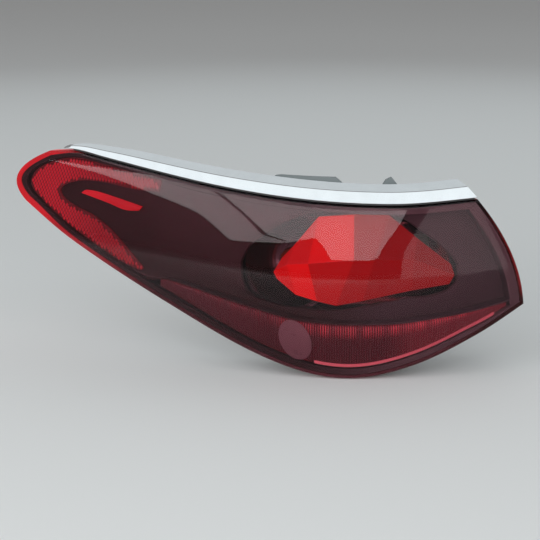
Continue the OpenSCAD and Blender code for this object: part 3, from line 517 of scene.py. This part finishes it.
def openingLoop(loop, grow):
    p = np.array(bezelLook["open"], float) - bezelLook["openAt"]
    turn, far = np.arctan2(p[:, 1], p[:, 0]), np.linalg.norm(p, axis=1)
    order = np.argsort(turn)
    d = loop - bezelLook["openAt"]
    reach = np.interp(np.arctan2(d[:, 1], d[:, 0]), turn[order], far[order], period=2 * math.pi) + grow
    return bezelLook["openAt"] + d / np.linalg.norm(d, axis=1)[:, None] * reach[:, None]

def makeBezel():
    nu, nv, wall = 160, 32, bezelLook["wall"]
    edge = maskLoop(nu, nv, bezelFoot)
    outer = insetLoop(edge, -wall)
    hole, holeBack = openingLoop(edge, 0), openingLoop(edge, wall)
    parts = [0.03, 0.12, 0.3, 0.5, 0.75, 0.97]
    loops = [(hole, floorDepth(hole[:, 0]) + bezelLook["lip"]), (hole, floorDepth(hole[:, 0]) + 0.6)]
    for t in parts:
        line = hole * (1 - t) + edge * t
        loops.append((line, floorDepth(line[:, 0])))
    loops += [(edge, floorDepth(edge[:, 0]) - 0.5), (edge, 5.2), (outer, 5.2),
              (outer, floorDepth(outer[:, 0]) + wall)]
    for t in parts[::-1]:
        line = holeBack * (1 - t) + edge * t
        loops.append((line, floorDepth(line[:, 0]) + wall))
    loops.append((holeBack, floorDepth(holeBack[:, 0]) + wall))
    loops.append((holeBack, floorDepth(holeBack[:, 0]) + bezelLook["lip"]))
    piece, flat, _ = skinRing("innerBezel", loops, "inner_bezel")
    useMaterials(piece, plasticFinish("bezelPlastic", bezelLook["dark"], 0.35, dust=0.0,
                                      other=bezelLook["light"]))
    giveValue(piece, "tone", 1 - ease(110, 190, flat[:, 0]))
    return piece

makeBezel()
print("bezel is made")

# honeycomb side reflector, shaped like the letter C
reflexLook = {"wall": 2.2, "back": 7.7, "across": 3.7, "up": 4.6, "rise": 0.9, "edge": 0.7,
              "line": (0.030, 0.003, 0.005), "paintedCellGlint": (0.80, 0.012, 0.035), "border": (0.24, 0.006, 0.012),
              "inner": [(338, 70), (368, 69.3), (400, 71.2), (425, 70.5), (442, 67), (451, 63), (453, 58.5),
                        (446, 52.7), (430, 47.5), (410, 43), (389, 34.2), (368, 21), (347, 6)]}

def maskTip(v):
    a, b = np.array([483, float(frameFoot(483))]), np.array([466, float(frameTop(466))])
    return a * (1 - v) + b * v + np.array([(edges["tipBulge"] - 7) * swell(v), 0])

def reflexOuter():
    edge = reflexLook["edge"]
    points = [(s, float(frameTop(s)) - edge) for s in (338, 368, 400, 430, 456)]
    points += [tuple(maskTip(v) - [2.3, 0]) for v in (0.8, 0.55, 0.2)]
    points += [(s, max(float(frameFoot(s)), float(bezelFoot(s))) + edge) for s in (468, 440, 408, 378)]
    return points + [(352, 4.2)]

def insidePolygon(x, y, poly):
    poly = np.asarray(poly)
    inside = np.zeros(x.shape, bool)
    for a, b in zip(poly, np.roll(poly, -1, 0)):
        crosses = (a[1] > y) != (b[1] > y)
        with np.errstate(divide="ignore", invalid="ignore"):
            at = (b[0] - a[0]) * (y - a[1]) / (b[1] - a[1]) + a[0]
        inside ^= crosses & (x < at)
    return inside

def makeReflex():
    outer, inner = smoothPath(reflexOuter(), 145), smoothPath(reflexLook["inner"], 145)
    rows = np.stack([outer * (1 - t) + inner * t for t in np.linspace(0, 1, 13)], 1)[::-1]
    back = reflexLook["back"]
    front = back - reflexLook["wall"] + reflexLook["rise"]
    piece = skinCup("sideReflexPlate", rows, front, [], rows, back, "side_reflex")[0]
    # painted glow: the plate's emission, mixed between the line and border reds by a noise mask, stands in for
    # light inside the red reflector
    plate, tree, shader = newMaterial("reflexPlate", (0.025, 0.004, 0.006), 0.4)
    shader.inputs["Emission Strength"].default_value = 1.0
    surface = place(tree, grainGroup, Grain_Size=0.8, Patch_Size=9.0)
    link(tree, mixColour(tree, surface.outputs["Mask"], (*reflexLook["line"], 1), (*reflexLook["border"], 1)),
         shader.inputs["Emission Color"])
    useMaterials(piece, plate)
    w, h = reflexLook["across"], reflexLook["up"]
    s, z = [], []
    for k, row in enumerate(np.arange(0, 110, h / 2)):
        across = np.arange(340, 500, w) + (w / 2 if k % 2 else 0)
        s.append(across)
        z.append(np.full(len(across), row))
    s, z = np.concatenate(s), np.concatenate(z)
    ring = insetLoop(np.concatenate([outer, inner[::-1]])[::-1], 1.9)
    keep = insidePolygon(s, z, ring)
    s, z = s[keep], z[keep]
    turn = np.radians(np.array([0, 60, 120, 180, 240, 300]))
    cellS, cellZ = np.cos(turn) * w * 0.60, np.sin(turn) * h * 0.56
    low, top = back - reflexLook["wall"] + reflexLook["rise"], back - reflexLook["wall"]
    flat, deep, paintedGlow = [], [], []
    # ring sizes, depths and painted glow: the centre of each cell glows
    for size, depth, value in ((1.0, low + 0.05, 0.0), (0.78, top + 0.25, 0.03), (0.42, top, 1.0)):
        flat.append(np.stack([s[:, None] + cellS * size, z[:, None] + cellZ * size], -1))
        deep.append(np.full((len(s), 6), depth))
        paintedGlow.append(np.full((len(s), 6), value))
    flat, deep, paintedGlow = np.stack(flat, 1), np.stack(deep, 1), np.stack(paintedGlow, 1)
    verts = onSkin(flat[..., 0], flat[..., 1], deep).reshape(-1, 3)
    faces = []
    for c in range(len(s)):
        base = c * 18
        for ringStart in (base, base + 6):
            for k in range(6):
                m = (k + 1) % 6
                faces.append((ringStart + k, ringStart + 6 + k, ringStart + 6 + m, ringStart + m))
        faces.append(tuple(base + 12 + k for k in range(5, -1, -1)))
        faces.append(tuple(base + k for k in range(6)))
    cells = makePiece("sideReflexCells", verts, faces, "side_reflex", 60)
    # painted glints: each cell's centre glows red, standing in for light sent back by the reflector
    red, tree, shader = newMaterial("reflexCells", (0.08, 0.004, 0.008), 0.3)
    paintGlowFrom(tree, shader, "paintedGlow", reflexLook["line"], reflexLook["paintedCellGlint"])
    useMaterials(cells, red)
    # painted glints grow stronger towards the front tip
    share = 0.55 + 0.45 * ease(380, 470, np.repeat(s, 18))
    giveValue(cells, "paintedGlow", paintedGlow.reshape(-1) * share)
    return piece

makeReflex()
print("side reflector is made")

# marker bar inside the C
markerLook = {"low": [(358, 52.7), (373, 51.8), (392, 55.1), (412, 58.1), (426, 60)],
              "high": [(355, 56.2), (371, 58.4), (390, 60.8), (409, 62.8), (422, 62.9)],
              "back": 7.7, "dark": (0.45, 0.01, 0.02), "bright": (0.85, 0.02, 0.035)}

def makeMarker():
    low, high = smoothPath(markerLook["low"], 49), smoothPath(markerLook["high"], 49)
    t = np.linspace(0, 1, 13)
    rows = np.stack([low * (1 - v) + high * v for v in t], 1)
    rise = 2.2 + 0.9 * np.broadcast_to(swell(t), (49, 13))
    piece, flat = skinCup("markerBar", rows, markerLook["back"] - rise, [], rows, markerLook["back"],
                          "marker_bar")[:2]
    # painted glow: emission stands in for light in the unlit red bar, brighter towards the front tip
    red, tree, shader = newMaterial("markerRed", (0.20, 0.005, 0.01), 0.2)
    paintGlowFrom(tree, shader, "paintedGlow", markerLook["dark"], markerLook["bright"])
    useMaterials(piece, red)
    giveValue(piece, "paintedGlow", 0.5 + 0.5 * ease(380, 420, flat[:, 0]))

makeMarker()
print("marker bar is made")

# fluted band along the lower edge
bandLook = {"from": 17.0, "to": 329.0, "flutes": 150, "depth": 7.5, "wall": 2.4, "flute": 0.8, "perFlute": 6,
            "low": (0.014, 0.003, 0.006), "high": (1.0, 0.09, 0.13)}

def makeBand():
    n = bandLook["flutes"] * bandLook["perFlute"]
    s = np.linspace(bandLook["from"], bandLook["to"], n + 1)
    v = np.array([0, 0.04, 0.1, 0.2, 0.35, 0.5, 0.65, 0.78, 0.88, 0.94, 0.98, 1.0])
    low, high = frameFoot(s) + 0.6, shelf(s) - 2.0
    z = low[:, None] * (1 - v) + high[:, None] * v
    ss = np.broadcast_to(s[:, None], z.shape)
    phase = (s - bandLook["from"]) / (bandLook["to"] - bandLook["from"]) * bandLook["flutes"]
    lift = bandLook["flute"] * np.abs(np.sin(np.pi * phase))
    curl = np.where(v > 0.85, ((v - 0.85) / 0.15) ** 2 * 1.7, 0)
    curl = curl + np.where(v < 0.08, ((0.08 - v) / 0.08) ** 2 * 1.2, 0)
    front = bandLook["depth"] - lift[:, None] * (1 - 0.6 * (curl > 0.9)) + curl
    rows = np.stack([ss, z], -1)
    piece, flat = skinCup("tailBand", rows, front, [], rows, bandLook["depth"] + bandLook["wall"],
                          "tail_band", 60)[:2]
    # painted glow: emission stands in for light in the unlit red band
    red, tree, shader = newMaterial("bandRed", (0.06, 0.010, 0.016), 0.25)
    shader.inputs["Coat Weight"].default_value = 0.4
    paintGlowFrom(tree, shader, "paintedGlow", bandLook["low"], bandLook["high"])
    useMaterials(piece, red)
    up = np.clip((flat[:, 1] - frameFoot(flat[:, 0])) / (shelf(flat[:, 0]) - frameFoot(flat[:, 0])), 0, 1)
    turn = (flat[:, 0] - bandLook["from"]) / (bandLook["to"] - bandLook["from"]) * bandLook["flutes"]
    # painted comb of highlights on the flute tops below the upper lip, where overhead light would catch them
    paintedComb = np.sin(np.pi * turn) ** 4 * ease(0.68, 0.78, up) * (1 - ease(0.88, 0.94, up))
    paintedComb = paintedComb * (0.6 + 0.4 * np.sin(turn * 0.9) * np.sin(turn * 0.23))
    # painted glow brighter towards the boot end, banded by the flutes
    boot = 0.10 * (1 - ease(95, 125, flat[:, 0])) * (0.6 + 0.4 * np.sin(np.pi * turn) ** 2)
    # painted highlights along the top lip, and along the foot beyond s 185
    paintedLips = 0.22 * ease(0.975, 0.995, up) + 0.22 * (1 - ease(0.01, 0.06, up)) * ease(181, 190, flat[:, 0])
    # how strong the painted comb is along the band
    strong = 0.2 + 0.8 * ease(10, 90, flat[:, 0]) * (1 - ease(170, 230, flat[:, 0]))
    # painted glow, a little brighter towards the top
    giveValue(piece, "paintedGlow", 0.015 + 0.02 * up + boot + paintedLips + paintedComb * strong)

makeBand()
print("fluted band is made")

# red guide rod, which lies on the band
rodLook = {"from": 30.0, "to": 181.0, "radius": 1.3, "depth": 7.5, "dark": (0.20, 0.03, 0.05),
           "bright": (0.62, 0.16, 0.19)}

def makeRod():
    s = np.linspace(rodLook["from"], rodLook["to"], 180)
    r = rodLook["radius"]
    z = frameFoot(s) + 1.2 + r
    turn = np.radians(np.arange(0, 360, 30))
    d = rodLook["depth"] - 0.8 - 0.3 - r
    sections = onSkin(s[:, None], z[:, None] + r * np.sin(turn), d + r * np.cos(turn))
    verts, faces = barMesh(sections)
    piece = makePiece("guideRod", verts, faces, "guide_rod", 60)
    # painted glow: emission stands in for light in the unlit red rod, brighter from s 60 to s 140
    red, tree, shader = newMaterial("rodRed", (0.30, 0.06, 0.08), 0.15)
    paintGlowFrom(tree, shader, "paintedGlow", rodLook["dark"], rodLook["bright"])
    useMaterials(piece, red)
    giveValue(piece, "paintedGlow", np.repeat(0.6 + 0.4 * ease(60, 140, s), 12))

makeRod()
print("guide rod is made")

# clear oval over the band
ovalLook = {"at": (197.5, -35.6), "half": (14.0, 15.6), "skew": 4.0, "back": 6.4, "tint": (0.27, 0.19, 0.21)}

def makeOval():
    nu = nv = 16
    k = np.arange(2 * (nu + nv))
    a = np.radians(k * 360 / len(k) + 225)
    edge = np.stack([ovalLook["at"][0] + ovalLook["half"][0] * np.cos(a),
                     ovalLook["at"][1] + ovalLook["half"][1] * np.sin(a) + ovalLook["skew"] * np.cos(a)], 1)
    rows = netInside(edge, nu, nv)
    across = (rows[..., 0] - ovalLook["at"][0]) / ovalLook["half"][0]
    upward = (rows[..., 1] - ovalLook["at"][1] - ovalLook["skew"] * across) / ovalLook["half"][1]
    e = np.stack([across, upward], -1)
    rise = 1 + 1.6 * np.clip(1 - (e ** 2).sum(-1), 0, 1)
    piece = skinCup("ovalLens", rows, ovalLook["back"] - rise, [], rows, ovalLook["back"],
                    "fog_lens")[0]
    useMaterials(piece, plasticFinish("ovalPlastic", ovalLook["tint"], 0.3, dust=0.0))

makeOval()
print("oval is made")

# stop light jewel: facets with bevelled edges
jewelLook = {"wall": 3.2, "bevel": 0.5, "dark": (0.10, 0.0, 0.0), "bright": (1.0, 0.0, 0.0),
             "low": [(217, 11, 14), (200, -1, 15), (181, -5.6, 16), (164, -8.7, 16), (141, -4.5, 16), (98, 2.8, 16),
                     (65, 6.2, 15)],
             "mid": [(219, 17, 11), (206.5, 24, 9), (188, 25.5, 9), (149, 29.5, 9), (132, 29.3, 9), (98, 28.8, 10),
                     (61.5, 14, 12)],
             "top": [(213, 28, 14), (203, 38, 15), (182, 61, 16), (149, 63, 17), (116, 61.8, 18), (91.5, 43.3, 17),
                     (63, 22, 15)],
             "lowGlow": [0.75, 0.95, 0.45, 0.28, 0.20, 0.16], "topGlow": [0.50, 0.62, 0.90, 0.22, 0.14, 0.10]}

def makeJewel():
    rows = np.array([jewelLook["low"], jewelLook["mid"], jewelLook["top"]], float).transpose(1, 0, 2)[::-1]
    front = onSkin(rows[..., 0], rows[..., 1], rows[..., 2])
    back = onSkin(rows[..., 0], rows[..., 1], rows[..., 2] + jewelLook["wall"])
    verts, faces, _ = cupMesh(front, [], back)
    piece = makePiece("stopJewel", verts, faces, "stop_jewel", 8)
    # painted light: each facet glows by its own listed value, lighter or darker as light would fall on it
    paintedGlow = piece.data.attributes.new("paintedGlow", "FLOAT", "FACE")
    values = np.full(len(faces), 0.35, np.float32)
    for i in range(6):
        values[i * 2] = jewelLook["lowGlow"][5 - i]
        values[i * 2 + 1] = jewelLook["topGlow"][5 - i]
    paintedGlow.data.foreach_set("value", values)
    bevel = piece.modifiers.new("edgeBevel", "BEVEL")
    bevel.width = jewelLook["bevel"] / 1000
    bevel.segments = 2
    bevel.limit_method = "ANGLE"
    bevel.angle_limit = math.radians(6)
    # painted glow: emission stands in for light inside the unlit red jewel
    red, tree, shader = newMaterial("jewelRed", (0.16, 0.0, 0.003), 0.1)
    paintGlowFrom(tree, shader, "paintedGlow", jewelLook["dark"], jewelLook["bright"])
    useMaterials(piece, red)

makeJewel()
print("jewel is made")

# bright two-facet strip along the top
trimLook = {"height": 13.8, "wall": 2.0, "proud": 1.2, "seam": 1.5, "from": 43.0, "to": 452.0,
            "points": [(40, 1), (150, 0.99), (230, 0.93), (320, 0.79), (378, 0.65), (421, 0.45), (445, 0.26),
                       (460, 0.2)]}

def makeTrim():
    t = np.linspace(0, 1, 260)
    s = trimLook["from"] * (1 - t) + trimLook["to"] * t
    h = trimLook["height"] * smoothLine(trimLook["points"], s)
    w = np.minimum(trimLook["wall"], h * 0.3)
    deep = 9 * np.minimum(1, h / 9)
    slant = 12 * np.clip(1 - t * 12, 0, None) - 3 * np.clip(t * 16 - 15, 0, None)
    p, r = trimLook["proud"], 0.35
    fold = 0.66 * h
    corners = [(-p + r, 0 * h), (-p, r + 0 * h), (0.3 - p - 0.02, fold - r), (0.3 - p + r * 0.8, fold + r * 0.25),
               (deep - r, h - r * 0.3), (deep + 0 * h, h - r), (deep, h - w), (0.3 + w - p, fold - w * 0.6),
               (w - p, 0 * h)]
    sections = []
    for d, up in corners:
        d, up = np.broadcast_to(d, s.shape), np.broadcast_to(up, s.shape)
        sections.append(onSkin(s + slant * up / h, topEdge(s) + trimLook["seam"] + up, d))
    verts, faces = barMesh(np.stack(sections, 1))
    piece = makePiece("chromeTrim", verts, faces, "chrome_trim", 20)
    useMaterials(piece, metalFinish("trimChrome", (0.86, 0.87, 0.88), 0.06, grain=0.4, bump=0.01))

makeTrim()
print("trim strip is made")

# the CAD's own solids that stay, each with a finish of its own
finishes = {
    "lens_seal": plasticFinish("sealantGrey", (0.07, 0.07, 0.07), 0.7),
    "rear_housing": plasticFinish("housingBlack", (0.025, 0.025, 0.027), 0.45, grain=1.1, bump=0.3),
    "marker_led_board": plasticFinish("boardGreen", (0.01, 0.12, 0.05), 0.4, grain=2.0),
    "marker_leds": plasticFinish("chipWhite", (0.75, 0.74, 0.66), 0.35),
    "tail_reflector": plasticFinish("trayWhite", (0.72, 0.72, 0.70), 0.3),
    "turn_bowl": metalFinish("bowlBright", (0.16, 0.13, 0.14), 0.22),
    "turn_bulb": plasticFinish("bulbAmber", (0.16, 0.03, 0.006), 0.1, dust=0.0),
    "turn_bulb_holder": plasticFinish("holderGrey", (0.13, 0.13, 0.135), 0.5),
    "reverse_bulb": plasticFinish("bulbClear", (0.7, 0.7, 0.7), 0.08, dust=0.0),
    "holder_seals": plasticFinish("sealBlack", (0.012, 0.012, 0.012), 0.6),
    "stop_reflector": metalFinish("panBright", (0.30, 0.13, 0.14), 0.2),
    "heat_sink": metalFinish("sinkAluminium", (0.60, 0.61, 0.62), 0.38, grain=0.8, bump=0.2),
    "heat_sink_screws": metalFinish("screwSteel", (0.42, 0.42, 0.43), 0.3),
    "trim_seal": plasticFinish("trimRubber", (0.008, 0.008, 0.008), 0.55),
    "trim_carrier": plasticFinish("carrierGrey", (0.17, 0.20, 0.205), 0.42),
    "mounting_studs": metalFinish("studZinc", (0.62, 0.55, 0.32), 0.32, grain=0.7, bump=0.1),
    "locating_pin": plasticFinish("pinPlastic", (0.48, 0.49, 0.50), 0.45),
    "body_gasket": plasticFinish("foamBlack", (0.022, 0.022, 0.024), 0.92, grain=1.6, bump=0.8),
    "wiring_connector": plasticFinish("connectorBlack", (0.016, 0.016, 0.018), 0.4),
    "connector_pins": metalFinish("pinBrass", (0.72, 0.52, 0.22), 0.25),
    "vent_cap": plasticFinish("ventGrey", (0.05, 0.05, 0.05), 0.5)}
finishes["tail_led_boards"] = finishes["stop_led_board"] = finishes["marker_led_board"]
finishes["tail_leds"] = finishes["stop_leds"] = finishes["marker_leds"]
finishes["reverse_bulb_holder"] = finishes["turn_bulb_holder"]

def dressNodes():
    for name, material in finishes.items():
        solid = nodes[name]
        for k in range(len(solid.material_slots)):
            solid.material_slots[k].material = material

dressNodes()
print("carried-over solids are dressed")

# floor, soft boxes and the room's light
stageLook = {"floor": (0.82, 0.82, 0.81), "room": (0.27, 0.27, 0.272), "floorZ": -0.1136,
             "middle": (-0.1455, -0.0146, -0.028), "far": 2.5, "boxF": 5.2, "boxL": 4.4, "boxR": 1.8,
             "boxTop": 0.70, "boxTrim": 1.14, "trimLight": (0.90, 0.97, 1.0)}

def makeFloor():
    size = 12.0
    verts = [(-size, -size, stageLook["floorZ"]), (size, -size, stageLook["floorZ"]),
             (size, size, stageLook["floorZ"]), (-size, size, stageLook["floorZ"])]
    mesh = bpy.data.meshes.new("floor")
    mesh.from_pydata(verts, [], [(0, 1, 2, 3)])
    floor = bpy.data.objects.new("floor", mesh)
    bpy.context.scene.collection.objects.link(floor)
    mesh.materials.append(newMaterial("floorPaint", stageLook["floor"], 0.9, Specular_IOR_Level=0.1)[0])

def towards(azimuth, elevation):
    a, e = np.radians(azimuth), np.radians(elevation)
    d = np.stack([np.sin(a) * np.cos(e), -np.cos(a) * np.cos(e), np.sin(e)], -1)
    return np.array(stageLook["middle"]) + stageLook["far"] * d

# a glowing sheet between two lines of directions
def softBox(name, lower, upper, strength, colour=(1, 1, 1)):
    lower, upper = np.array(lower, float), np.array(upper, float)
    rows = np.stack([lower * (1 - t) + upper * t for t in np.linspace(0, 1, 9)], 1)
    verts = towards(rows[..., 0], rows[..., 1]).reshape(-1, 3)
    mesh = bpy.data.meshes.new(name)
    faces = [tuple(int(k) for k in f) for f in gridFaces(len(lower), 9)]
    mesh.from_pydata([tuple(v) for v in verts], [], faces)
    box = bpy.data.objects.new(name, mesh)
    bpy.context.scene.collection.objects.link(box)
    material = bpy.data.materials.new(name)
    material.use_nodes = True
    tree = material.node_tree
    tree.nodes.clear()
    light, out = tree.nodes.new("ShaderNodeEmission"), tree.nodes.new("ShaderNodeOutputMaterial")
    light.inputs["Strength"].default_value = strength
    light.inputs["Color"].default_value = (*colour, 1)
    link(tree, light.outputs[0], out.inputs["Surface"])
    mesh.materials.append(material)
    box.visible_camera = False
    box.visible_shadow = False

def lightStage():
    lower = [(-114.4, 18.0), (-106.9, 16.5), (-99.2, 14.2), (-91.3, 11.3), (-86.1, 9.5), (-74.4, 8.6),
             (-59.9, 10.9), (-54.4, 7.7), (-50.7, 4.4), (-39.9, 4.4), (-29.4, 4.2), (-24.6, 5.0), (-20.9, 8.9),
             (-12.9, 14.7), (-8.0, 19.0)]
    softBox("boxF", lower, [(a, 19.9) for a, _ in lower], stageLook["boxF"])
    wide = [-142, -130, -114.4, -80, -40, -10, 10, 30]
    softBox("boxTrim", [(a, 18.6 if a < -110 else 20.0) for a in wide], [(a, 48) for a in wide],
            stageLook["boxTrim"], stageLook["trimLight"])
    softBox("boxL", [(-132.4, 14.2), (-128.8, 13.8), (-122.6, 12.2), (-112.3, 10.4), (-101.8, 5.7)],
            [(-116.2, 17.9), (-109.3, 16.4), (-98, 13.0), (-88.9, 9.1), (-74.4, 8.4)], stageLook["boxL"])
    softBox("boxR", [(-15, -8), (-5, -18), (8, -18), (21.7, -11)],
            [(-12, 6), (1.7, 18.6), (9.4, 22.8), (14.6, 20.3)], stageLook["boxR"])
    softBox("boxTop", [(60, 14), (100, 14), (140, 14), (180, 14)], [(60, 75), (100, 75), (140, 75), (180, 75)],
            stageLook["boxTop"], stageLook["trimLight"])
    world = bpy.data.worlds.new("room")
    world.use_nodes = True
    world.node_tree.nodes["Background"].inputs[0].default_value = (*stageLook["room"], 1)
    bpy.context.scene.world = world
    bpy.context.scene.view_settings.view_transform = "Standard"

makeFloor()
lightStage()
print("stage is lit")
